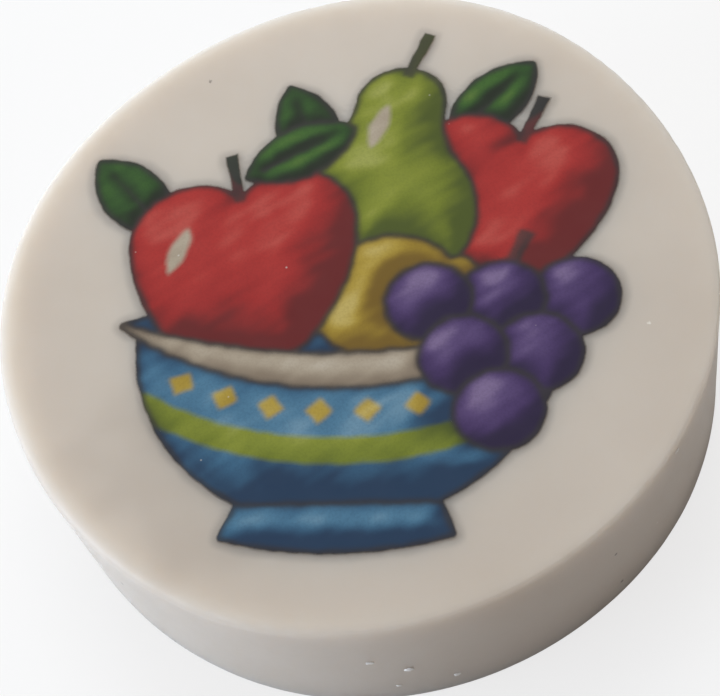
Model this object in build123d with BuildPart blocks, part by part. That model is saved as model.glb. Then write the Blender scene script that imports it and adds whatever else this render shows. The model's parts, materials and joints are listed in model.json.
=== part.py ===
from build123d import *
import math
import os

# Pencil eraser topper: a round vinyl eraser with a pencil socket in its underside
# and a picture of a fruit bowl, printed in several inks, on its face.
# Millimetres. The origin is the centre of the underside, +Z comes up out of the face
# and +Y is the top of the picture.

# Eraser block
face_diameter = 35.0
thickness = 9.0
wall_draft = 1.5
face_edge_radius = 0.4
foot_edge_break = 0.3

# The soft block is slightly out of round: its rim has two, three and four low lobes on one another,
# each with its height and the direction of its first one in degrees
two_lobe_height = 0.17
two_lobe_direction = 88.0
three_lobe_height = 0.13
three_lobe_direction = -51.5
four_lobe_height = 0.12
four_lobe_direction = -10.5
rim_points = 8

# Pencil socket
socket_diameter = 7.0
socket_roof = 2.0
socket_lead_in = 0.5

# Ink film of the picture, and the dark line round each motif
film_thickness = 0.04
line_width = 0.3
smallest_spot_area = 0.05

# Places below are in the picture, or on a motif's own axes; tilts are in degrees, anticlockwise

# Bowl: the rim's tips are at rim_height, and a sag is how far a curve drops in the middle
bowl_width = 22.0
rim_height = -1.8
rim_sag = 2.0
lip_height = 1.6
back_rim_rise = 1.8
bowl_overhang = 0.9
bowl_depth = 9.5
bowl_belly_width = 18.4
bowl_belly_drop = 4.6
foot_width = 9.0
foot_height = 1.7
foot_flare = 0.7
foot_sag = 0.7
stripe_drop = 2.7
stripe_height = 1.4
diamond_width = 1.3
diamond_drop = 1.35
diamond_count = 8
diamond_spacing = 2.3

# Apples, each placed by its middle
apple_dimple = 1.2
apple_notch = 0.6
front_apple_width = 11.0
front_apple_height = 10.2
front_apple_place = (-5.3, 1.3)
front_apple_tilt = 8.0
back_apple_width = 9.8
back_apple_height = 9.2
back_apple_place = (7.3, 4.6)
back_apple_tilt = -12.0

# Pear, placed and measured from the middle of its belly
pear_belly_drop = 4.4
pear_neck_width = 4.2
pear_neck_height = 6.8
pear_waist = (3.5, 3.3)
pear_place = (1.0, 3.9)
pear_tilt = -8.0

# Lemon, placed by its middle
lemon_length = 8.8
lemon_width = 6.4
lemon_tip_diameter = 1.6
lemon_place = (1.7, -0.6)
lemon_tilt = 18.0

# Bunch of grapes, with its rows counted from the lowest grape up
grape_diameter = 3.9
grape_spacing = 3.45
grape_row_rise = 2.95
grape_rows = 3
lowest_grape = (7.2, -6.9)

# Stalks, each widening to its cut end
stalk_width = 0.6
stalk_end_width = 0.8
stalk_length = 3.0
stalk_seat = 0.4
front_stalk_tilt = 6.0
back_stalk_tilt = -10.0
pear_stalk_tilt = -14.0
grape_stalk_tilt = -24.0

# Leaves, each placed by its stalk end; the front one is placed from the top of its apple
leaf_length = 5.8
leaf_width = 2.8
vein_width = 0.3
vein_margin = 0.7
front_leaf_place = (0.5, 0.2)
front_leaf_tilt = 20.0
back_leaf_places = ((-1.6, 6.6), (4.6, 8.4), (-9.4, 3.6))
back_leaf_tilts = (112.0, 48.0, 132.0)

# Highlights, each placed by its lower end on its fruit
shine_length = 2.8
shine_width = 0.9
front_apple_shine_place = (-3.8, 0.3)
front_apple_shine_tilt = 66.0
pear_shine_place = (-1.1, 4.0)
pear_shine_tilt = 80.0

face_radius = face_diameter / 2
socket_radius = socket_diameter / 2
socket_depth = thickness - socket_roof
pear_height = pear_neck_height + pear_neck_width / 2
face_plane = Plane.XY.offset(thickness)

rim_lobes = (
    (2, two_lobe_height, two_lobe_direction),
    (3, three_lobe_height, three_lobe_direction),
    (4, four_lobe_height, four_lobe_direction),
)


def rim_at(angle):
    """The point of the rim at an angle about the pencil's axis, and the heading of the rim there."""
    reach = face_radius
    growth = 0.0
    for count, height, direction in rim_lobes:
        phase = math.radians(count * (angle - direction))
        reach += height * math.cos(phase)
        growth -= count * height * math.sin(phase)
    return Vector(reach, 0).rotate(Axis.Z, angle), Vector(growth, reach).rotate(Axis.Z, angle).normalized()


def rim_arcs(start_angle, end_angle):
    """Two arcs along the rim, which meet each other and their neighbours without a kink."""
    start, start_heading = rim_at(start_angle)
    end, end_heading = rim_at(end_angle)
    chord = end - start
    along = chord.dot(start_heading + end_heading)
    turn = 2 * (1 - start_heading.dot(end_heading))
    arm = (math.sqrt(along**2 + turn * chord.dot(chord)) - along) / turn
    meeting = (start + end + (start_heading - end_heading) * arm) / 2
    first_arc = TangentArc(start, meeting, tangent=start_heading)
    TangentArc(meeting, end, tangent=first_arc % 1)


# Eraser block: the face's outline, drawn down to the underside with draft, then the pencil's socket
with BuildPart() as eraser_body:
    with BuildSketch(face_plane):
        with BuildLine():
            for point in range(rim_points):
                rim_arcs(360 * point / rim_points, 360 * (point + 1) / rim_points)
        make_face()
    extrude(amount=-thickness, taper=wall_draft)
    fillet(eraser_body.edges().group_by(Axis.Z)[-1], face_edge_radius)
    chamfer(eraser_body.edges().group_by(Axis.Z)[0], foot_edge_break)
    with BuildSketch():
        Circle(socket_radius)
    extrude(amount=socket_depth, mode=Mode.SUBTRACT)
    underside_arcs = eraser_body.edges().group_by(Axis.Z)[0].filter_by(GeomType.CIRCLE)
    chamfer(underside_arcs.sort_by(SortBy.RADIUS)[0], socket_lead_in)
eraser_body.part.label = "eraser_body"


def spot(place, tilt=0.0):
    """A place, with the axes there turned by a tilt."""
    return Location((*place, 0), (0, 0, tilt))


def placed(shape, at):
    """A flat shape, moved to its place in the picture."""
    with BuildSketch() as moved:
        with Locations(at):
            add(shape)
    return moved.sketch


def apple_outline(width, height):
    """An apple with its core on the Y axis. Its shoulders are round and reach its full width and height."""
    shoulder_radius = width / 2 + apple_dimple - math.sqrt(width * apple_dimple)
    widest = (width / 2, height / 2 - shoulder_radius)
    with BuildSketch() as outline:
        with BuildLine():
            TangentArc(widest, (0, height / 2 - apple_dimple), tangent=(0, 1))
            flank = TangentArc(widest, (width / 4, apple_notch - height / 2), tangent=(0, -1))
            TangentArc(flank @ 1, (0, apple_notch - height / 2), tangent=flank % 1)
            mirror(about=Plane.YZ)
        make_face()
    return outline.sketch


def pear_outline():
    """A pear with its core on the Y axis."""
    with BuildSketch() as outline:
        with BuildLine():
            neck = TangentArc((0, pear_height), (pear_neck_width / 2, pear_neck_height), tangent=(1, 0))
            waist = TangentArc(neck @ 1, pear_waist, tangent=neck % 1)
            TangentArc(waist @ 1, (0, -pear_belly_drop), tangent=waist % 1)
            mirror(about=Plane.YZ)
        make_face()
    return outline.sketch


def lemon_outline():
    """A lemon along the X axis, with a blunt tip at each end."""
    tip_spacing = lemon_length - lemon_tip_diameter
    with BuildSketch() as outline:
        with BuildLine():
            ThreePointArc((-tip_spacing / 2, 0), (0, lemon_width / 2), (tip_spacing / 2, 0))
            mirror(about=Plane.XZ)
        make_face()
        with GridLocations(tip_spacing, 0, 2, 1):
            Circle(lemon_tip_diameter / 2)
    return outline.sketch


def lens_outline(length, width):
    """A leaf or a highlight along the X axis, pointed at both ends, one of them at the origin."""
    with BuildSketch() as outline:
        with BuildLine():
            ThreePointArc((0, 0), (length / 2, width / 2), (length, 0))
            ThreePointArc((length, 0), (length / 2, -width / 2), (0, 0))
        make_face()
    return outline.sketch


def vein_outline():
    """The middle vein of a leaf, which runs out to a point."""
    with BuildSketch() as outline:
        with BuildLine():
            Polyline(
                (vein_margin, -vein_width / 2),
                (leaf_length - vein_margin, 0),
                (vein_margin, vein_width / 2),
                close=True,
            )
        make_face()
    return outline.sketch


def stalk_outline():
    """A stalk that stands up from the origin."""
    with BuildSketch() as outline:
        with BuildLine():
            Polyline(
                (-stalk_width / 2, 0),
                (stalk_width / 2, 0),
                (stalk_end_width / 2, stalk_length),
                (-stalk_end_width / 2, stalk_length),
                close=True,
            )
        make_face()
    return outline.sketch


def crescent(low_drop, high_drop):
    """The space between two curves across the bowl, each drop measured below the rim's tips."""
    left_tip = (-bowl_width / 2, rim_height)
    right_tip = (bowl_width / 2, rim_height)
    with BuildSketch() as outline:
        with BuildLine():
            ThreePointArc(left_tip, (0, rim_height - low_drop), right_tip)
            ThreePointArc(right_tip, (0, rim_height - high_drop), left_tip)
        make_face()
    return outline.sketch


def arc_radius(chord, sag):
    """The radius of an arc from its chord and its sag."""
    return (chord**2 / 4 + sag**2) / (2 * sag)


# The lip's lower curve, which the bowl's wall, stripe and diamonds follow
lip_drop = rim_sag + lip_height
lip_radius = arc_radius(bowl_width, lip_drop)
lip_centre = rim_height - lip_drop + lip_radius

with BuildSketch() as bowl_wall:
    with BuildLine():
        wall_top = (bowl_width / 2 - bowl_overhang, rim_height)
        wall_belly = (bowl_belly_width / 2, rim_height - bowl_belly_drop)
        wall_foot = (foot_width / 2, rim_height - bowl_depth)
        ThreePointArc(wall_top, wall_belly, wall_foot)
        Line(wall_foot, (0, rim_height - bowl_depth))
        mirror(about=Plane.YZ)
        Line(wall_top, (-wall_top[0], wall_top[1]))
    make_face()
    with Locations((0, lip_centre)):
        Circle(lip_radius, mode=Mode.SUBTRACT)

with BuildSketch() as bowl_stripe:
    add(bowl_wall.sketch)
    with Locations((0, lip_centre - stripe_drop - stripe_height)):
        Circle(lip_radius, mode=Mode.INTERSECT)
    with Locations((0, lip_centre - stripe_drop)):
        Circle(lip_radius, mode=Mode.SUBTRACT)

with BuildSketch() as bowl_diamonds:
    diamond_step = math.degrees(diamond_spacing / lip_radius)
    diamond_span = diamond_step * (diamond_count - 1)
    with Locations((0, lip_centre - diamond_drop)):
        with PolarLocations(lip_radius, diamond_count, 270 - diamond_span / 2, diamond_span, endpoint=True):
            RegularPolygon(diamond_width / 2, 4)

with BuildSketch() as bowl_foot:
    foot_top = rim_height - bowl_depth
    foot_bottom = foot_top - foot_height
    with BuildLine():
        Line((-foot_width / 2, foot_top), (foot_width / 2, foot_top))
        Line((foot_width / 2, foot_top), (foot_width / 2 + foot_flare, foot_bottom))
        ThreePointArc(
            (foot_width / 2 + foot_flare, foot_bottom),
            (0, foot_bottom - foot_sag),
            (-foot_width / 2 - foot_flare, foot_bottom),
        )
        Line((-foot_width / 2 - foot_flare, foot_bottom), (-foot_width / 2, foot_top))
    make_face()

with BuildSketch() as grape:
    Circle(grape_diameter / 2)

front_apple = apple_outline(front_apple_width, front_apple_height)
back_apple = apple_outline(back_apple_width, back_apple_height)
pear = pear_outline()
lemon = lemon_outline()
leaf = lens_outline(leaf_length, leaf_width)
vein = vein_outline()
stalk = stalk_outline()
shine = lens_outline(shine_length, shine_width)

front_apple_at = spot(front_apple_place, front_apple_tilt)
back_apple_at = spot(back_apple_place, back_apple_tilt)
pear_at = spot(pear_place, pear_tilt)
lemon_at = spot(lemon_place, lemon_tilt)
front_stalk_at = front_apple_at * spot((0, front_apple_height / 2 - apple_dimple), front_stalk_tilt)
back_stalk_at = back_apple_at * spot((0, back_apple_height / 2 - apple_dimple), back_stalk_tilt)
front_apple_top = front_apple_at * spot((0, front_apple_height / 2))
front_leaf_at = front_apple_top * spot(front_leaf_place, front_leaf_tilt)

# The picture from its front to its back: the ink, the shape, and whether a dark line runs round it
picture = []


def lay(ink, shape, at=Location(), lined=True):
    """Puts one motif behind those that the picture holds already."""
    picture.append((ink, placed(shape, at), lined))


for row in range(grape_rows):
    for column in range(row + 1):
        grape_x = lowest_grape[0] + (column - row / 2) * grape_spacing
        grape_y = lowest_grape[1] + row * grape_row_rise
        lay("purple", grape.sketch, spot((grape_x, grape_y)))
bunch_top = lowest_grape[1] + (grape_rows - 1) * grape_row_rise + grape_diameter / 4
lay("line", stalk, spot((lowest_grape[0], bunch_top), grape_stalk_tilt), lined=False)

lay("white", crescent(lip_drop, rim_sag))
lay("yellow", bowl_diamonds.sketch, lined=False)
lay("lime", bowl_stripe.sketch, lined=False)
lay("blue", bowl_wall.sketch)
lay("blue", bowl_foot.sketch)

lay("line", stalk, front_stalk_at, lined=False)
lay("line", vein, front_leaf_at, lined=False)
lay("green", leaf, front_leaf_at)
lay("white", shine, front_apple_at * spot(front_apple_shine_place, front_apple_shine_tilt), lined=False)
lay("red", front_apple, front_apple_at)

lay("yellow", lemon, lemon_at)

lay("line", stalk, pear_at * spot((0, pear_height - stalk_seat), pear_stalk_tilt), lined=False)
lay("white", shine, pear_at * spot(pear_shine_place, pear_shine_tilt), lined=False)
lay("lime", pear, pear_at)

lay("line", stalk, back_stalk_at, lined=False)
lay("red", back_apple, back_apple_at)

lay("blue", crescent(rim_sag, -back_rim_rise))
for leaf_place, leaf_tilt in zip(back_leaf_places, back_leaf_tilts):
    lay("line", vein, spot(leaf_place, leaf_tilt), lined=False)
    lay("green", leaf, spot(leaf_place, leaf_tilt))

# What shows of each motif, ink by ink, and the dark lines between them.
# A patch too small to print is left to the dark line.
ink_patches = {"red": [], "green": [], "lime": [], "yellow": [], "purple": [], "blue": [], "white": []}
covered = []
for ink, shape, lined in picture:
    if ink in ink_patches:
        with BuildSketch() as showing:
            add(shape)
            add(covered, mode=Mode.SUBTRACT)
        ink_patches[ink].extend(patch for patch in showing.faces() if patch.area > smallest_spot_area)
    with BuildSketch() as hidden_behind:
        add(shape)
        if lined:
            offset(amount=line_width)
    covered.extend(hidden_behind.faces())

with BuildSketch() as lines:
    add(covered)
    for patches in ink_patches.values():
        add(patches, mode=Mode.SUBTRACT)
ink_patches["line"] = lines.faces()

os.makedirs("parts", exist_ok=True)
export_step(eraser_body.part, "parts/eraser_body.step")
for ink, patches in ink_patches.items():
    with BuildPart() as film:
        with BuildSketch(face_plane):
            add(patches)
        extrude(amount=film_thickness)
    film.part.label = f"print_{ink}"
    export_step(film.part, f"parts/print_{ink}.step")
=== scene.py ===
import json
import math
import bmesh
import bpy
import numpy as np
from mathutils import Matrix, Vector, noise
from mathutils.kdtree import KDTree


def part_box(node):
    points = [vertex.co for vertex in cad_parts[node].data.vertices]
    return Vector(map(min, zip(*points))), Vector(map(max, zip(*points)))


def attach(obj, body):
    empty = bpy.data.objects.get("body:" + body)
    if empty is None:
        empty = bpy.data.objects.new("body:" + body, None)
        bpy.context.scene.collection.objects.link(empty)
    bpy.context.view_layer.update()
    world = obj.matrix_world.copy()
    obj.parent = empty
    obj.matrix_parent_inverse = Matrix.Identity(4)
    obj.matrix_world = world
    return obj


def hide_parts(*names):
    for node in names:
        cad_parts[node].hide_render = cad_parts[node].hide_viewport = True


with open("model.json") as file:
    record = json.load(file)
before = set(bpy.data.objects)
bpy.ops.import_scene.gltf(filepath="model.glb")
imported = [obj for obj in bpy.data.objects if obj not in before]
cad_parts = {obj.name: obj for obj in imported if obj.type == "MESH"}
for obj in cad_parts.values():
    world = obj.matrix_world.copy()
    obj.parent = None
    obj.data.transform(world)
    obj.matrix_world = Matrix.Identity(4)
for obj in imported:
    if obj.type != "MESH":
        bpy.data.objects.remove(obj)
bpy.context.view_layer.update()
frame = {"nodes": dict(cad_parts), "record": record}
record = frame["record"]

# Lengths are in metres, as in the frame
MM = 0.001

# Out of round: each row is a count of lobes on the soft block, their height and where one points
LOBES = (
    (2, 0.17 * MM, math.radians(88.0)),
    (3, 0.13 * MM, math.radians(-51.5)),
    (4, 0.12 * MM, math.radians(-10.5)),
)


def lobe_height(angle):
    """How far the rim stands out at an angle about the pencil's axis."""
    return sum(height * math.cos(count * (angle - first)) for count, height, first in LOBES)


# Eraser block: its outline and height are the frame's, and its upper rim is crisp before its wear
block_low, block_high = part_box("eraser_body")
reaches = (block_high.x, block_high.y, -block_low.x, -block_low.y)
FACE_RADIUS = min(reach - lobe_height(quarter * math.pi / 2) for quarter, reach in enumerate(reaches))
THICKNESS = block_high.z
FACE_EDGE_RADIUS = 0.15 * MM
FOOT_EDGE_RADIUS = 0.3 * MM
WALL_DRAFT = math.radians(1.5)
FOOT_RADIUS = FACE_RADIUS - THICKNESS * math.tan(WALL_DRAFT)

# Pencil socket, from its mount
socket_mount = next(mount for mount in record["mounts"] if mount["name"] == "pencil_socket")
SOCKET_RADIUS = socket_mount["dims"]["r_mm"] * MM
SOCKET_LENGTH = socket_mount["dims"]["length_mm"] * MM
SOCKET_LEAD_IN = socket_mount["pos_m"][2] - SOCKET_LENGTH / 2
SOCKET_MOUTH_RADIUS = SOCKET_RADIUS + SOCKET_LEAD_IN
SOCKET_DEPTH = SOCKET_LEAD_IN + SOCKET_LENGTH
SOCKET_CORNER_RADIUS = 0.3 * MM

# Mesh of the block: how finely it is cut, and from what angle an edge stays crisp
RIM_SEGMENTS = 384
EDGE_SEGMENTS = 6
WALL_RINGS = 28
FACE_RINGS = 10
RING_WIDTH = 0.3 * MM
CRISP_ANGLE = math.radians(40)

# Tests on a mesh: how near two places count as one, and how upright the normal of a level face is
NEAR = 0.01 * MM
LEVEL = 0.9

# Wear: the rim is rubbed round on one side and slightly ragged all along, and the wall has waves
WORN_SIDE = math.radians(220)
WORN_RADIUS = 0.5 * MM
WORN_POWER = 4
RAGGED_SIZE = 0.8 * MM
RAGGED_DEPTH = 0.12 * MM
WAVE_SIZE = 5.0 * MM
WAVE_HEIGHT = 0.05 * MM
WAVE_FADE = 2.2 * MM

# Marks on the wall, each with its angle about the pencil's axis in degrees, its height and its size
CRUMBS = (
    (-86.2, 5.2 * MM, 0.16 * MM),
    (-80.9, 3.8 * MM, 0.2 * MM),
    (-74.3, 1.8 * MM, 0.16 * MM),
    (-83.3, 1.9 * MM, 0.11 * MM),
    (-30.2, 8.2 * MM, 0.14 * MM),
)
DARK_SPECKS = (
    (-45.5, 5.1 * MM, 0.14 * MM),
    (-44.6, 1.5 * MM, 0.16 * MM),
    (-128.1, 5.4 * MM, 0.12 * MM),
)

# Marks on the face: a dark speck, a pale fleck, and a broad patch at its low left that is darker and
# browner
FACE_SPECK = Vector((-8.1 * MM, 12.8 * MM, THICKNESS))
FACE_SPECK_SIZE = 0.13 * MM
FACE_FLECK = Vector((14.0 * MM, -2.6 * MM, THICKNESS))
FACE_FLECK_SIZE = 0.12 * MM
DARK_PATCH_PLACE = Vector((-8.5 * MM, -10.5 * MM, THICKNESS))
DARK_PATCH_SIZE = 6.5 * MM

# Shape of a crumb that clings to the wall, for its size: how thick, wide and tall it is, and its lumps
CRUMB_SHAPE = (0.16, 1.1, 0.8)
CRUMB_LUMP_SIZE = 0.6
CRUMB_LUMP_HEIGHT = 1.6
CRUMB_CUTS = 3

# Ink films: how finely their tops and borders are cut, and how deep they bite into the vinyl
FILM_GRAIN = 0.22 * MM
LINE_GRAIN = 0.11 * MM
FILM_PASSES = 8
FILM_BITE = 0.02 * MM
WELD = 0.001 * MM
BORDER_SPACING = 0.03 * MM

# Soft borders: how far inks run into one another, and how far and strongly they bleed into the vinyl
INK_RUN = 0.21 * MM
BLEED_REACH = 0.45 * MM
BLEED_STRENGTH = 0.24

# Painting: how smooth, patchy and streaked the tones are, and how unsteady the brush is
TONE_BLUR = 0.45 * MM
BLUR_FALL = 0.9
PATCH_SIZE = 1.5 * MM
PATCH_STRENGTH = 0.22
STREAK_WIDTH = 0.4 * MM
STREAK_LENGTH = 2.4 * MM
STREAK_TURN = math.radians(-35)
STREAK_STRENGTH = 0.2
WOBBLE_SIZE = 0.7 * MM
WOBBLE = 0.09 * MM
WOBBLE_SEED = 7
LINE_TINT = 0.2

# Light in the picture: where it comes from, and how much of it gives each tone of an ink
PICTURE_LIGHT = Vector((-0.5, 0.55, 0.67)).normalized()
TONE_STOPS = (0.0, 0.45, 0.8, 1.0)

# Where the grapes' stalk lies over an apple that it doesn't shape
GRAPE_STALK = (7.9 * MM, 1.5 * MM)
GRAPE_STALK_REACH = 1.7 * MM

# Photograph's camera: its frame is 720 pixels wide
PHOTO_WIDTH = 720
FOCAL_PIXELS = 1965.9
SENSOR_WIDTH = 36.0
CAMERA_DISTANCE = 5.256 * FACE_RADIUS
CAMERA_AZIMUTH = math.radians(18)
CAMERA_ELEVATION = math.radians(58.47)
CAMERA_ROLL = math.radians(-17.40)
AIM_RIGHT = -0.0279 * FACE_RADIUS
AIM_AWAY = -0.1959 * FACE_RADIUS


def linear(red, green, blue):
    """A colour on the screen's scale of 0 to 255, as the linear colour that shaders take."""
    shares = [channel / 255 for channel in (red, green, blue)]
    return tuple(c / 12.92 if c <= 0.04045 else ((c + 0.055) / 1.055) ** 2.4 for c in shares) + (1.0,)


# Tones of each ink: in shade, in middle light, in full light, and where it gleams
INK_TONES = {
    "line": (linear(44, 41, 41), linear(50, 47, 47), linear(56, 53, 52), linear(62, 58, 57)),
    "red": (linear(98, 36, 36), linear(152, 44, 42), linear(166, 52, 48), linear(178, 76, 68)),
    "green": (linear(32, 38, 28), linear(48, 76, 38), linear(64, 98, 44), linear(92, 118, 56)),
    "lime": (linear(72, 82, 34), linear(110, 120, 42), linear(130, 138, 52), linear(152, 156, 80)),
    "yellow": (linear(112, 88, 36), linear(150, 125, 46), linear(170, 146, 62), linear(186, 166, 96)),
    "purple": (linear(40, 31, 56), linear(66, 49, 90), linear(88, 70, 112), linear(122, 104, 140)),
    "blue": (linear(36, 56, 80), linear(58, 96, 124), linear(78, 120, 146), linear(112, 146, 166)),
    "white": (linear(128, 114, 98), linear(160, 147, 128), linear(174, 162, 144), linear(186, 176, 160)),
}

# How far in from its dark line each ink's form is still rounded
INK_REACH = {
    "line": 0.3 * MM,
    "red": 4.2 * MM,
    "green": 1.3 * MM,
    "lime": 3.2 * MM,
    "yellow": 3.0 * MM,
    "purple": 2.0 * MM,
    "blue": 4.0 * MM,
    "white": 1.2 * MM,
}

# Colours of the vinyl, of its torn crumbs and of what marks them, and how strongly the marks show
VINYL_DARK = linear(192, 180, 166)
VINYL_PALE = linear(206, 196, 184)
TORN_DARK = linear(228, 223, 216)
TORN_PALE = linear(248, 246, 242)
FINE_DIRT = linear(120, 108, 98)
COARSE_DIRT = linear(96, 84, 76)
DIRT_STRENGTH = 0.6
DUST = linear(232, 228, 220)
DUST_STRENGTH = 0.7
# Colour and strength of the broad patch that makes the face's low left darker and browner
DARK_PATCH = linear(142, 126, 110)
DARK_PATCH_STRENGTH = 0.2
BLED_INK = linear(92, 86, 84)
# Pale specks on the ink: partly dust and missing ink, partly painted glints of light
INK_DUST_AND_GLINT = linear(214, 208, 200)
INK_DUST_AND_GLINT_STRENGTH = 0.75

# Texture of the vinyl and its crumbs, in millimetres, with the lumps' height for the grain's
CLOUD_SIZE = 7.0
VINYL_GRAIN_SIZE = 0.35
LUMP_SIZE = 2.5
LUMP_HEIGHT = 2
BLEED_PATCH_SIZE = 2.0
BLEED_PATCHINESS = 0.6
TORN_GRAIN_SIZE = 0.09

# Texture of the inks, in millimetres: their brushwork, grain and frayed outer border
BRUSH_SIZE = 1.6
INK_GRAIN_SIZE = 0.12
GRAIN_FRAY = 0.04
FRAY_SIZE = 0.9
FRAY_DEPTH = 0.16
FADE_WIDTH = 0.17

# Gloss: how rough each finish is, how far that varies, and how strongly they all bend light
VINYL_ROUGHNESS = 0.42
INK_ROUGHNESS = 0.54
ROUGHNESS_SPREAD = 0.16
TORN_ROUGHNESS = 0.7
TORN_SPREAD = 0.2
PLASTIC_IOR = 1.46

# Small marks: how softly a speck ends, how sharply a share of them is cut off, how ragged a spot is
SPECK_SOFTNESS = 3
SHARE_STEP = 0.01
SPOT_CORE = 0.4
SPOT_RAGGEDNESS = 2

# Stage: the room's light on the object, and a paper floor that mostly shows as plain white
WHITE = (1.0, 1.0, 1.0, 1.0)
AMBIENT = (1.0, 0.9, 0.86, 1.0)
AMBIENT_STRENGTH = 0.235
PAPER = (0.82, 0.82, 0.82, 1.0)
PAPER_GLOW = 0.75
FLOOR_SIZE = 4.0

# Soft lights: name, direction from the block, distance, size, watts and colour
LIGHTS = (
    ("window", (-1.0, -0.4, 0.09), 0.4, 0.22, 1.92, (0.86, 1.0, 1.2)),
    ("back_light", (-0.2, 0.8, 1.3), 0.22, 0.15, 0.3, (1.0, 1.05, 1.07)),
    ("ceiling", (0.0, 0.2, 1.0), 0.4, 0.3, 0.24, (1.0, 1.0, 1.0)),
)


class Wire:
    """One output of a node. Sums of wires and numbers add Math nodes."""

    def __init__(self, finish, socket):
        self.finish = finish
        self.socket = socket

    def math(self, operation, first, second):
        return self.finish.add("ShaderNodeMath", {"operation": operation}, {0: first, 1: second})

    def __add__(self, other):
        return self.math("ADD", self, other)

    def __sub__(self, other):
        return self.math("SUBTRACT", self, other)

    def __mul__(self, other):
        return self.math("MULTIPLY", self, other)

    __radd__ = __add__
    __rmul__ = __mul__


class Finish:
    """The nodes of a material or of the world."""

    def __init__(self, owner):
        self.owner = owner
        owner.use_nodes = True
        self.tree = owner.node_tree
        self.tree.nodes.clear()

    def add(self, kind, settings=(), inputs=(), output=0):
        """Adds a node with its settings first, then the values or wires of its sockets."""
        node = self.tree.nodes.new(kind)
        for name, value in dict(settings).items():
            setattr(node, name, value)
        for name, value in dict(inputs).items():
            if isinstance(value, Wire):
                self.tree.links.new(value.socket, node.inputs[name])
            else:
                node.inputs[name].default_value = value
        return Wire(self, node.outputs[output]) if node.outputs else None

    def place(self):
        """Where a point lies on the object, in millimetres."""
        metres = self.add("ShaderNodeTexCoord", output="Object")
        return self.add("ShaderNodeVectorMath", {"operation": "SCALE"}, {0: metres, "Scale": 1 / MM})

    def attribute(self, name, output="Fac"):
        return self.add("ShaderNodeAttribute", {"attribute_name": name}, output=output)

    def noise(self, place, size, detail=2.0, roughness=0.5):
        """Soft noise from 0 to 1, with lumps of a size in millimetres."""
        inputs = {"Vector": place, "Scale": 1 / size, "Detail": detail, "Roughness": roughness}
        return self.add("ShaderNodeTexNoise", {}, inputs)

    def step(self, value, low, high, out_low=0.0, out_high=1.0):
        """A smooth step between two values."""
        settings = {"interpolation_type": "SMOOTHSTEP"}
        inputs = {
            "Value": value, "From Min": low, "From Max": high, "To Min": out_low, "To Max": out_high,
        }
        return self.add("ShaderNodeMapRange", settings, inputs)

    def specks(self, place, spacing, size, share):
        """Small round specks, one in each cell of a spacing in millimetres, of which a share shows."""
        inputs = {"Vector": place, "Scale": 1 / spacing}
        from_middle = self.add("ShaderNodeTexVoronoi", {}, inputs, output="Distance")
        cell = self.add("ShaderNodeTexVoronoi", {}, inputs, output="Color")
        chance = self.add("ShaderNodeSeparateColor", {}, {"Color": cell}, output="Red")
        shown = self.step(chance, share, share - SHARE_STEP)
        edge = size / spacing
        return self.step(from_middle, edge, edge / SPECK_SOFTNESS) * shown

    def spot(self, place, centre, size):
        """A ragged mark of a size about a centre, both in millimetres."""
        inputs = {0: place, 1: centre}
        distance = self.add("ShaderNodeVectorMath", {"operation": "DISTANCE"}, inputs, output="Value")
        ragged = distance + (self.noise(place, size) - 0.5) * size * SPOT_RAGGEDNESS
        return self.step(ragged, size, size * SPOT_CORE)

    def mix(self, factor, first, second):
        """A blend of two colours. The Mix node repeats its names, so its sockets go by number."""
        inputs = {0: factor, 6: first, 7: second}
        return self.add("ShaderNodeMix", {"data_type": "RGBA"}, inputs, output=2)

    def bump(self, height, strength, distance):
        inputs = {"Height": height, "Strength": strength, "Distance": distance}
        return self.add("ShaderNodeBump", {}, inputs, output="Normal")

    def surface(self, sockets):
        """Ends the finish in a Principled shader with these sockets."""
        shader = self.add("ShaderNodeBsdfPrincipled", {}, sockets)
        self.add("ShaderNodeOutputMaterial", {}, {"Surface": shader})
        return self.owner


# Modelling helpers

def start_edit(piece):
    """Opens one piece in edit mode with nothing selected."""
    bpy.ops.object.select_all(action="DESELECT")
    piece.select_set(True)
    bpy.context.view_layer.objects.active = piece
    bpy.ops.object.mode_set(mode="EDIT")
    bpy.ops.mesh.select_all(action="DESELECT")


def end_edit():
    bpy.ops.object.mode_set(mode="OBJECT")


def choose(piece, kind, test):
    """Selects just the vertices, edges or faces of the piece in edit mode that pass a test."""
    bpy.ops.mesh.select_mode(type={"verts": "VERT", "edges": "EDGE", "faces": "FACE"}[kind])
    bpy.ops.mesh.select_all(action="DESELECT")
    shape = bmesh.from_edit_mesh(piece.data)
    for element in getattr(shape, kind):
        if test(element):
            element.select_set(True)
    bmesh.update_edit_mesh(piece.data)


def from_axis(point):
    return math.hypot(point.x, point.y)


def on_ring(edge, radius, height):
    """Whether an edge lies along a ring about the axis."""
    return all(
        abs(from_axis(vertex.co) - radius) < NEAR and abs(vertex.co.z - height) < NEAR
        for vertex in edge.verts
    )


def round_ring(piece, radius, height, corner_radius, segments):
    """Rounds the corner that runs along a ring."""
    choose(piece, "edges", lambda edge: on_ring(edge, radius, height))
    bpy.ops.mesh.bevel(offset=corner_radius, segments=segments, affect="EDGES")


def finish_modifier(piece, kind, **settings):
    """Adds a modifier and applies it."""
    modifier = piece.modifiers.new(kind.title(), kind)
    for name, value in settings.items():
        setattr(modifier, name, value)
    bpy.ops.object.select_all(action="DESELECT")
    piece.select_set(True)
    bpy.context.view_layer.objects.active = piece
    bpy.ops.object.modifier_apply(modifier=modifier.name)


def weigh(piece, group_name, weight):
    """Makes a vertex group from a weight that depends on a vertex's place."""
    group = piece.vertex_groups.new(name=group_name)
    for vertex in piece.data.vertices:
        group.add([vertex.index], weight(vertex.co), "REPLACE")
    return group.name


# Vinyl block

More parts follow.
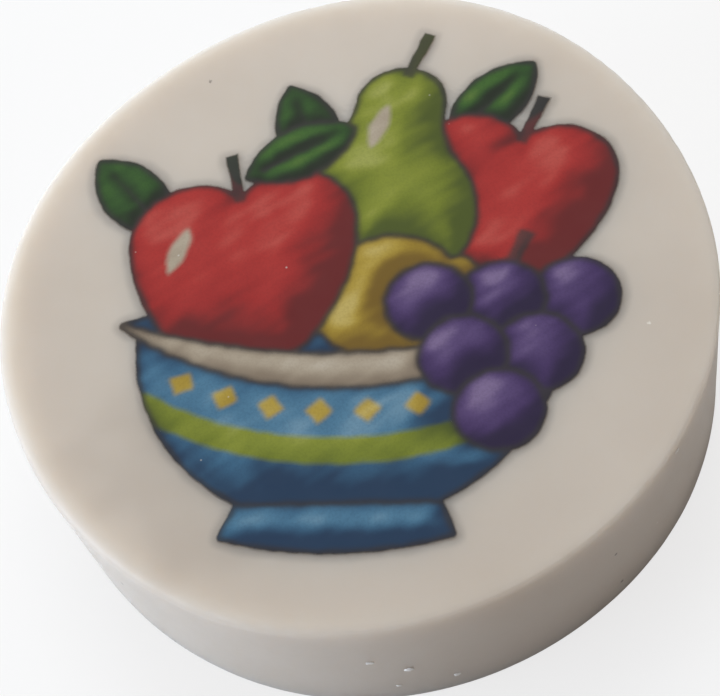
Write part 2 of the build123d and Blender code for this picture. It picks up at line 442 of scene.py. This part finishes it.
def vinyl_block():
    """The drafted disc with its rounded rims and the pencil socket, then its wear."""
    bpy.ops.object.select_all(action="DESELECT")
    bpy.ops.mesh.primitive_cylinder_add(
        vertices=RIM_SEGMENTS, radius=FACE_RADIUS, depth=THICKNESS, location=(0, 0, THICKNESS / 2)
    )
    block = bpy.context.active_object
    block.name = "vinyl_block"
    bpy.ops.object.transform_apply(location=True)

    start_edit(block)
    choose(block, "faces", lambda face: face.normal.z < -LEVEL)
    shrink = FOOT_RADIUS / FACE_RADIUS
    bpy.ops.transform.resize(value=(shrink, shrink, 1), center_override=(0, 0, 0))
    foot_ring = FOOT_EDGE_RADIUS + RING_WIDTH
    bpy.ops.mesh.inset(thickness=foot_ring)
    bpy.ops.mesh.inset(thickness=FOOT_RADIUS - foot_ring - SOCKET_MOUTH_RADIUS)
    bpy.ops.mesh.extrude_region_move(TRANSFORM_OT_translate={"value": (0, 0, SOCKET_LEAD_IN)})
    narrow = SOCKET_RADIUS / SOCKET_MOUTH_RADIUS
    bpy.ops.transform.resize(value=(narrow, narrow, 1), center_override=(0, 0, SOCKET_LEAD_IN))
    bpy.ops.mesh.extrude_region_move(TRANSFORM_OT_translate={"value": (0, 0, SOCKET_LENGTH)})

    round_ring(block, FACE_RADIUS, THICKNESS, FACE_EDGE_RADIUS, EDGE_SEGMENTS)
    round_ring(block, FOOT_RADIUS, 0, FOOT_EDGE_RADIUS, EDGE_SEGMENTS)
    round_ring(block, SOCKET_RADIUS, SOCKET_DEPTH, SOCKET_CORNER_RADIUS, EDGE_SEGMENTS // 2)
    choose(block, "edges", is_wall_edge)
    bpy.ops.mesh.subdivide(number_cuts=WALL_RINGS)
    for ring in range(FACE_RINGS):
        choose(block, "faces", lambda face: face.normal.z > LEVEL and len(face.verts) == RIM_SEGMENTS)
        bpy.ops.mesh.inset(thickness=RING_WIDTH)
    bpy.ops.mesh.delete(type="ONLY_FACE")
    choose(block, "edges", lambda edge: edge.is_boundary)
    bpy.ops.mesh.fill_grid(span=RIM_SEGMENTS // 4)
    end_edit()

    put_out_of_round(block)
    wear_rim(block)
    wave_wall(block)
    bpy.ops.object.shade_smooth_by_angle(angle=CRISP_ANGLE)
    block.data.materials.append(vinyl())
    return block


def is_wall_edge(edge):
    """Whether an edge runs up the whole outer wall."""
    low, high = sorted(vertex.co.z for vertex in edge.verts)
    return high - low > THICKNESS / 2 and from_axis(edge.verts[0].co) > FOOT_RADIUS - FOOT_EDGE_RADIUS


def put_out_of_round(block):
    """Gives the block's rim and wall their lobes."""
    for vertex in block.data.vertices:
        radius = from_axis(vertex.co)
        share = (radius - SOCKET_MOUTH_RADIUS) / (FACE_RADIUS - SOCKET_MOUTH_RADIUS)
        if share > 0:
            stands_out = share * lobe_height(math.atan2(vertex.co.y, vertex.co.x))
            vertex.co.xy *= 1 + stands_out / radius


def wear_rim(block):
    """Rounds the upper rim, most on its worn side."""
    for vertex in block.data.vertices:
        angle = math.atan2(vertex.co.y, vertex.co.x)
        rim_radius = FACE_RADIUS + lobe_height(angle)
        side = 0.5 + 0.5 * math.cos(angle - WORN_SIDE)
        rim_place = Vector((math.cos(angle), math.sin(angle), 0)) * FACE_RADIUS
        ragged = RAGGED_DEPTH * abs(noise.noise(rim_place / RAGGED_SIZE))
        corner_radius = FACE_EDGE_RADIUS + WORN_RADIUS * side**WORN_POWER + ragged
        middle = Vector((rim_radius - corner_radius, THICKNESS - corner_radius))
        radius = from_axis(vertex.co)
        out = Vector((radius, vertex.co.z)) - middle
        if min(out) > 0 and out.length > corner_radius:
            worn_radius, worn_height = middle + out.normalized() * corner_radius
            vertex.co.xy *= worn_radius / radius
            vertex.co.z = worn_height


def wave_wall(block):
    """Makes the wall slightly uneven."""

    def wall_share(point):
        below_face = (THICKNESS - point.z) / WAVE_FADE
        return min(1.0, max(0.0, below_face)) if from_axis(point) > SOCKET_MOUTH_RADIUS + NEAR else 0.0

    waves = bpy.data.textures.new("wall_waves", "CLOUDS")
    waves.noise_scale = WAVE_SIZE
    wall = weigh(block, "wall", wall_share)
    finish_modifier(
        block, "DISPLACE", texture=waves, texture_coords="LOCAL", strength=WAVE_HEIGHT, mid_level=1.0,
        vertex_group=wall,
    )


def wall_point(angle, height):
    """A point on the wall by its angle in degrees and its height."""
    turn = math.radians(angle)
    radius = FACE_RADIUS + lobe_height(turn) - (THICKNESS - height) * math.tan(WALL_DRAFT)
    return Vector((radius * math.cos(turn), radius * math.sin(turn), height))


def vinyl():
    """Soft cream vinyl: slightly see-through, with faint clouds, specks, a darker patch and bled ink."""
    finish = Finish(bpy.data.materials.new("cream_vinyl"))
    place = finish.place()
    clouds = finish.noise(place, CLOUD_SIZE, detail=3.0)
    grain = finish.noise(place, VINYL_GRAIN_SIZE, detail=3.0, roughness=0.6)
    colour = finish.mix(clouds, VINYL_DARK, VINYL_PALE)
    dirt = finish.specks(place, spacing=3.6, size=0.09, share=0.12)
    dust = finish.specks(place, spacing=2.3, size=0.11, share=0.1)
    colour = finish.mix(dirt * DIRT_STRENGTH, colour, FINE_DIRT)
    colour = finish.mix(dust * DUST_STRENGTH, colour, DUST)
    wall_specks = [(wall_point(angle, height), size) for angle, height, size in DARK_SPECKS]
    for centre, size in wall_specks + [(FACE_SPECK, FACE_SPECK_SIZE)]:
        speck = finish.spot(place, centre / MM, size / MM)
        colour = finish.mix(speck * DIRT_STRENGTH, colour, COARSE_DIRT)
    fleck = finish.spot(place, FACE_FLECK / MM, FACE_FLECK_SIZE / MM)
    colour = finish.mix(fleck * DUST_STRENGTH, colour, DUST)
    # The face's low left is made darker and browner over a broad patch
    dark_patch = finish.spot(place, DARK_PATCH_PLACE / MM, DARK_PATCH_SIZE / MM)
    colour = finish.mix(dark_patch * DARK_PATCH_STRENGTH, colour, DARK_PATCH)
    patchy = (finish.noise(place, BLEED_PATCH_SIZE) - 0.5) * BLEED_PATCHINESS
    bleed = finish.step(finish.attribute("off_print") + patchy, BLEED_REACH / MM, 0.0)
    colour = finish.mix(bleed * BLEED_STRENGTH, colour, BLED_INK)
    height = grain + finish.noise(place, LUMP_SIZE) * LUMP_HEIGHT
    return finish.surface({
        "Base Color": colour,
        "Roughness": VINYL_ROUGHNESS + ROUGHNESS_SPREAD * grain,
        "Normal": finish.bump(height, strength=0.12, distance=0.02 * MM),
        "IOR": PLASTIC_IOR,
        "Specular IOR Level": 0.25,
        "Subsurface Weight": 1.0,
        "Subsurface Radius": (1.0, 0.92, 0.85),
        "Subsurface Scale": 3.6 * MM,
    })


# Crumbs of rubbed vinyl that cling to the wall

def crumb(angle, height, size):
    """One ragged crumb."""
    bpy.ops.object.select_all(action="DESELECT")
    bpy.ops.mesh.primitive_ico_sphere_add(
        subdivisions=CRUMB_CUTS, radius=size, location=wall_point(angle, height)
    )
    piece = bpy.context.active_object
    lumps = bpy.data.textures.new("crumb_lumps", "CLOUDS")
    lumps.noise_scale = CRUMB_LUMP_SIZE * size
    finish_modifier(
        piece, "DISPLACE", texture=lumps, texture_coords="GLOBAL", strength=CRUMB_LUMP_HEIGHT * size
    )
    piece.scale = CRUMB_SHAPE
    piece.rotation_euler.z = math.radians(angle)
    bpy.ops.object.transform_apply()
    return piece


def wall_crumbs():
    """All the crumbs as one piece."""
    pieces = [crumb(angle, height, size) for angle, height, size in CRUMBS]
    bpy.ops.object.select_all(action="DESELECT")
    for piece in pieces:
        piece.select_set(True)
    bpy.context.view_layer.objects.active = pieces[0]
    bpy.ops.object.join()
    bpy.ops.object.transform_apply()
    bpy.ops.object.shade_smooth()
    crumbs = pieces[0]
    crumbs.name = "wall_crumbs"
    crumbs.data.materials.append(rubbed_vinyl())
    return crumbs


def rubbed_vinyl():
    """Vinyl that rubbing has torn and whitened."""
    finish = Finish(bpy.data.materials.new("rubbed_vinyl"))
    grain = finish.noise(finish.place(), TORN_GRAIN_SIZE)
    return finish.surface({
        "Base Color": finish.mix(grain, TORN_DARK, TORN_PALE),
        "Roughness": TORN_ROUGHNESS + TORN_SPREAD * grain,
        "Normal": finish.bump(grain, strength=0.2, distance=0.01 * MM),
        "IOR": PLASTIC_IOR,
        "Specular IOR Level": 0.1,
    })


# Ink films

def ink_film(ink):
    """A closed copy of an ink's film that bites into the vinyl, its top cut finely enough for tones."""
    film = bpy.data.objects.new(f"{ink}_ink", frame["nodes"][f"print_{ink}"].data.copy())
    bpy.context.scene.collection.objects.link(film)
    film.data.materials.clear()
    top = max(vertex.co.z for vertex in film.data.vertices)
    grain = LINE_GRAIN if ink == "line" else FILM_GRAIN

    def is_top(element):
        return all(vertex.co.z > top - NEAR for vertex in element.verts)

    start_edit(film)
    bpy.ops.mesh.select_all(action="SELECT")
    bpy.ops.mesh.remove_doubles(threshold=WELD)
    choose(film, "verts", lambda vertex: vertex.co.z < top - NEAR)
    bpy.ops.transform.translate(value=(0, 0, -FILM_BITE))
    for cut in range(FILM_PASSES):
        choose(film, "edges", lambda edge: is_top(edge) and edge.calc_length() > grain)
        bpy.ops.mesh.subdivide(number_cuts=1)
        choose(film, "faces", is_top)
        bpy.ops.mesh.quads_convert_to_tris(quad_method="BEAUTY", ngon_method="BEAUTY")
        bpy.ops.mesh.beautify_fill()
    end_edit()
    return film


def vertex_places(mesh):
    places = np.empty(len(mesh.vertices) * 3)
    mesh.vertices.foreach_get("co", places)
    return places.reshape(-1, 3)


def border_points(mesh):
    """Points close together along the borders of a film's top."""
    top_edges = [key for face in mesh.polygons if face.normal.z > LEVEL for key in face.edge_keys]
    keys, counts = np.unique(np.array(top_edges), axis=0, return_counts=True)
    ends = vertex_places(mesh)[keys[counts == 1]]
    steps = math.ceil(FILM_GRAIN / BORDER_SPACING)
    shares = np.arange(steps) / steps
    points = ends[:, :1] + (ends[:, 1:] - ends[:, :1]) * shares[None, :, None]
    return points.reshape(-1, 3)


def search_tree(points):
    tree = KDTree(len(points))
    for index, point in enumerate(points):
        tree.insert(point, index)
    tree.balance()
    return tree


def nearest(tree, points):
    """The nearest place in a tree to each point, with its number and distance."""
    found = [tree.find(point) for point in points]
    places, numbers, distances = zip(*found)
    return np.array(places), np.array(numbers), np.array(distances)


def blurred(tree, values, weights, points, reach):
    """For each point, the mean of the weighted values that a tree holds close by."""
    means = np.empty((len(points), values.shape[1]))
    for row, point in enumerate(points):
        found = tree.find_range(point, reach) or [tree.find(point)]
        numbers = [number for place, number, distance in found]
        nearness = [1 - BLUR_FALL * distance / reach for place, number, distance in found]
        shares = weights[numbers] * nearness
        means[row] = shares @ values[numbers] / shares.sum()
    return means


def write_attribute(mesh, name, kind, values):
    attribute = mesh.attributes.new(name, kind, "POINT")
    field = "color" if kind == "FLOAT_COLOR" else "value"
    attribute.data.foreach_set(field, np.ravel(values).astype(np.float32))


def painted(ink, places, line_tree):
    """The colours of one ink: tones as on a rounded form inside its dark line, laid on with a brush."""
    line_places, _, line_distances = nearest(line_tree, places)
    outward = (line_places - places) / np.maximum(line_distances, WELD)[:, None]
    slope = 1 - np.clip(line_distances / INK_REACH[ink], 0, 1)
    light = np.array(PICTURE_LIGHT)
    tone = slope * (outward[:, :2] @ light[:2]) + np.sqrt(1 - slope**2) * light[2]
    tone = blurred(search_tree(places), tone[:, None], np.ones(len(places)), places, TONE_BLUR)[:, 0]
    patches = Matrix.Scale(1 / PATCH_SIZE, 3)
    streak_shape = Matrix.Diagonal((1 / STREAK_LENGTH, 1 / STREAK_WIDTH, 1))
    streaks = streak_shape @ Matrix.Rotation(STREAK_TURN, 3, "Z")
    tone += PATCH_STRENGTH * np.array([noise.noise(patches @ Vector(place)) for place in places])
    tone += STREAK_STRENGTH * np.array([noise.noise(streaks @ Vector(place)) for place in places])
    return np.stack([np.interp(tone, TONE_STOPS, channel) for channel in zip(*INK_TONES[ink])], 1)


def unsteady(places):
    """Places on the face, each moved a little as by an unsteady hand."""
    moves = np.array([noise.noise_vector(Vector(place) / WOBBLE_SIZE) for place in places])
    return places + moves * (WOBBLE, WOBBLE, 0)


def top_faces(mesh):
    """The corners of a film's top triangles, and their areas."""
    faces = [face for face in mesh.polygons if face.normal.z > LEVEL]
    return np.array([face.vertices[:] for face in faces]), np.array([face.area for face in faces])


def paint_films(films):
    """Paints the films, lets neighbouring inks run together, and says how far off bare vinyl is."""
    borders = {ink: border_points(film.data) for ink, film in films.items()}
    places = {ink: vertex_places(film.data) for ink, film in films.items()}
    line_tree = search_tree(borders["line"])
    off_stalk = np.linalg.norm(borders["line"][:, :2] - GRAPE_STALK, axis=1) > GRAPE_STALK_REACH
    apple_tree = search_tree(borders["line"][off_stalk])
    shaping = {ink: apple_tree if ink == "red" else line_tree for ink in films}
    colours = {ink: painted(ink, places[ink], shaping[ink]) for ink in films}
    flats = [ink for ink in films if ink != "line"]
    flat_tree = search_tree(np.concatenate([places[ink] for ink in flats]))
    beside = np.concatenate([colours[ink] for ink in flats])[nearest(flat_tree, places["line"])[1]]
    colours["line"] += LINE_TINT * (beside - colours["line"])

    faces = {ink: top_faces(film.data) for ink, film in films.items()}
    centres = np.concatenate([places[ink][corners].mean(1) for ink, (corners, areas) in faces.items()])
    shades = np.concatenate([colours[ink][corners].mean(1) for ink, (corners, areas) in faces.items()])
    weights = np.concatenate([areas for corners, areas in faces.values()])
    centre_tree = search_tree(centres)
    for ink, film in films.items():
        paint = blurred(centre_tree, shades, weights, unsteady(places[ink]), INK_RUN)
        write_attribute(film.data, "paint", "FLOAT_COLOR", paint)

        others = np.concatenate([borders[other] for other in films if other != ink])
        own_distances = nearest(search_tree(others), borders[ink])[2]
        outer = borders[ink][own_distances > BORDER_SPACING]
        bare = np.full(len(places[ink]), MM)
        if len(outer):
            bare = nearest(search_tree(outer), places[ink])[2]
        write_attribute(film.data, "bare", "FLOAT", bare / MM)


def stain_block(block, films):
    """Tells the block how far each of its points is from the print, for the ink that bleeds into it."""
    print_tree = search_tree(np.concatenate([vertex_places(film.data) for film in films.values()]))
    off_print = nearest(print_tree, vertex_places(block.data))[2]
    write_attribute(block.data, "off_print", "FLOAT", off_print / MM)


def transfer_ink(ink):
    """Matt transfer ink that carries its painted tones, with grain, pale specks that are partly dust and
    partly painted glints, and a soft outer border.
    """
    finish = Finish(bpy.data.materials.new(f"{ink}_transfer_ink"))
    place = finish.place()
    brush = finish.noise(place, BRUSH_SIZE, detail=3.0, roughness=0.6)
    grain = finish.noise(place, INK_GRAIN_SIZE)
    dark_grain = finish.step(grain, low=0.35, high=0.75, out_high=0.16)
    colour = finish.mix(dark_grain, finish.attribute("paint", "Color"), INK_TONES[ink][0])
    # Pale specks on the ink, partly dust and missing ink and partly painted glints
    dust = finish.specks(place, spacing=1.1, size=0.09, share=0.14)
    colour = finish.mix(dust * INK_DUST_AND_GLINT_STRENGTH, colour, INK_DUST_AND_GLINT)
    bare = finish.attribute("bare") + (grain - 0.5) * GRAIN_FRAY
    bare = bare + (finish.noise(place, FRAY_SIZE, detail=1.0) - 0.5) * FRAY_DEPTH
    return finish.surface({
        "Base Color": colour,
        "Roughness": INK_ROUGHNESS + ROUGHNESS_SPREAD * brush,
        "Normal": finish.bump(brush + grain, strength=0.1, distance=0.01 * MM),
        "Alpha": finish.step(bare, 0.0, FADE_WIDTH),
        "IOR": PLASTIC_IOR,
        "Specular IOR Level": 0.12,
    })


# Stage

def soft_light(name, towards, distance, size, watts, colour):
    """A square soft light that faces the middle of the block."""
    lamp = bpy.data.lights.new(name, "AREA")
    lamp.size = size
    lamp.energy = watts
    lamp.color = colour
    light = bpy.data.objects.new(name, lamp)
    bpy.context.scene.collection.objects.link(light)
    direction = Vector(towards).normalized()
    light.location = Vector((0, 0, THICKNESS / 2)) + direction * distance
    light.rotation_euler = direction.to_track_quat("Z", "Y").to_euler()


def seen_directly(finish):
    """1 for what the camera sees, straight or in a gloss or through glass, and 0 for other light."""
    rays = [finish.add("ShaderNodeLightPath", output=name) for name in (
        "Is Camera Ray", "Is Glossy Ray", "Is Transmission Ray"
    )]
    return rays[0].math("MINIMUM", rays[0] + rays[1] + rays[2], 1.0)


def studio():
    """A white room whose light on the object stays plain, and a floor that keeps a soft shadow."""
    world = Finish(bpy.data.worlds.new("studio"))
    bpy.context.scene.world = world.owner
    ambient = world.add("ShaderNodeBackground", {}, {"Color": AMBIENT, "Strength": AMBIENT_STRENGTH})
    white = world.add("ShaderNodeBackground", {}, {"Color": WHITE, "Strength": 1.0})
    shown = world.add("ShaderNodeMixShader", {}, {0: seen_directly(world), 1: ambient, 2: white})
    world.add("ShaderNodeOutputWorld", {}, {"Surface": shown})

    bpy.ops.object.select_all(action="DESELECT")
    bpy.ops.mesh.primitive_plane_add(size=FLOOR_SIZE, location=(0, 0, 0))
    floor = bpy.context.active_object
    floor.name = "floor"
    paper = Finish(bpy.data.materials.new("white_paper"))
    matt = paper.add("ShaderNodeBsdfDiffuse", {}, {"Color": PAPER})
    white = paper.add("ShaderNodeEmission", {}, {"Color": WHITE, "Strength": 1.0})
    camera_ray = paper.add("ShaderNodeLightPath", output="Is Camera Ray")
    shown = paper.add("ShaderNodeMixShader", {}, {0: camera_ray * PAPER_GLOW, 1: matt, 2: white})
    paper.add("ShaderNodeOutputMaterial", {}, {"Surface": shown})
    floor.data.materials.append(paper.owner)

    for light in LIGHTS:
        soft_light(*light)


def photo_camera():
    """The photograph's view: from above, turned and rolled, with the aim given on the face."""
    right = Vector((math.cos(CAMERA_AZIMUTH), math.sin(CAMERA_AZIMUTH), 0))
    away = Vector((-right.y, right.x, 0))
    back = -away * math.cos(CAMERA_ELEVATION) + Vector((0, 0, math.sin(CAMERA_ELEVATION)))
    aim = Vector((0, 0, THICKNESS)) + right * AIM_RIGHT + away * AIM_AWAY
    axes = Matrix((right, back.cross(right), back)).transposed().to_4x4()
    lens = bpy.data.cameras.new("photo_camera")
    lens.sensor_width = SENSOR_WIDTH
    lens.lens = FOCAL_PIXELS / PHOTO_WIDTH * SENSOR_WIDTH
    lens.clip_start = MM
    camera = bpy.data.objects.new("photo_camera", lens)
    bpy.context.scene.collection.objects.link(camera)
    turned = axes @ Matrix.Rotation(CAMERA_ROLL, 4, "Z")
    camera.matrix_world = Matrix.Translation(aim + back * CAMERA_DISTANCE) @ turned
    bpy.context.scene.camera = camera


block = vinyl_block()
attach(block, "root")
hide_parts("eraser_body")

crumbs = wall_crumbs()
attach(crumbs, "root")

films = {ink: ink_film(ink) for ink in INK_TONES}
noise.seed_set(WOBBLE_SEED)
paint_films(films)
stain_block(block, films)
for ink, film in films.items():
    film.data.materials.append(transfer_ink(ink))
    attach(film, "root")
    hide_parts(f"print_{ink}")

studio()
photo_camera()
bpy.context.scene.view_settings.view_transform = "Standard"
